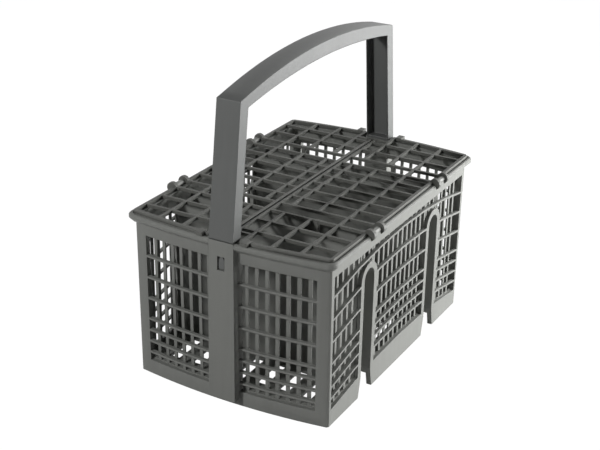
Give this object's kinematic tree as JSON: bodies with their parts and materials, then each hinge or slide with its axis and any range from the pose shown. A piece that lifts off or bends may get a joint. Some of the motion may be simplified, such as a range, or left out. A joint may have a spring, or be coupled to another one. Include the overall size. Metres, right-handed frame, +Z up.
{
  "type": "dishwasher cutlery basket",
  "caption": "Dishwasher cutlery basket with grid walls, hinged grid lids, an arched carrying handle and open tunnels underneath that straddle the wires of a rack.",
  "frame": {"origin": "middle of the footprint, on the plane that the basket stands on", "axes": "+X across the width, +Y along the length and the handle, +Z up"},
  "size_m": [0.1664, 0.2414, 0.2317],
  "materials": {
    "basket_plastic": "fine matte moulding",
    "handle_plastic": "fine matte moulding",
    "lid_plastic": "fine matte moulding"
  },
  "bodies": {
    "body": {"basket": "basket_plastic", "handle": "handle_plastic"},
    "left_cover": {"left_lid": "lid_plastic"},
    "right_cover": {"right_lid": "lid_plastic"}
  },
  "joints": [
    {"name": "right_hinge", "type": "hinge", "parent": "body", "child": "right_cover", "pos_m": [0.079, 0, 0.125], "axis": [0, 1, 0], "range_deg": [0, 150]},
    {"name": "left_hinge", "type": "hinge", "parent": "body", "child": "left_cover", "pos_m": [-0.079, 0, 0.125], "axis": [0, -1, 0], "range_deg": [0, 150]}
  ]
}
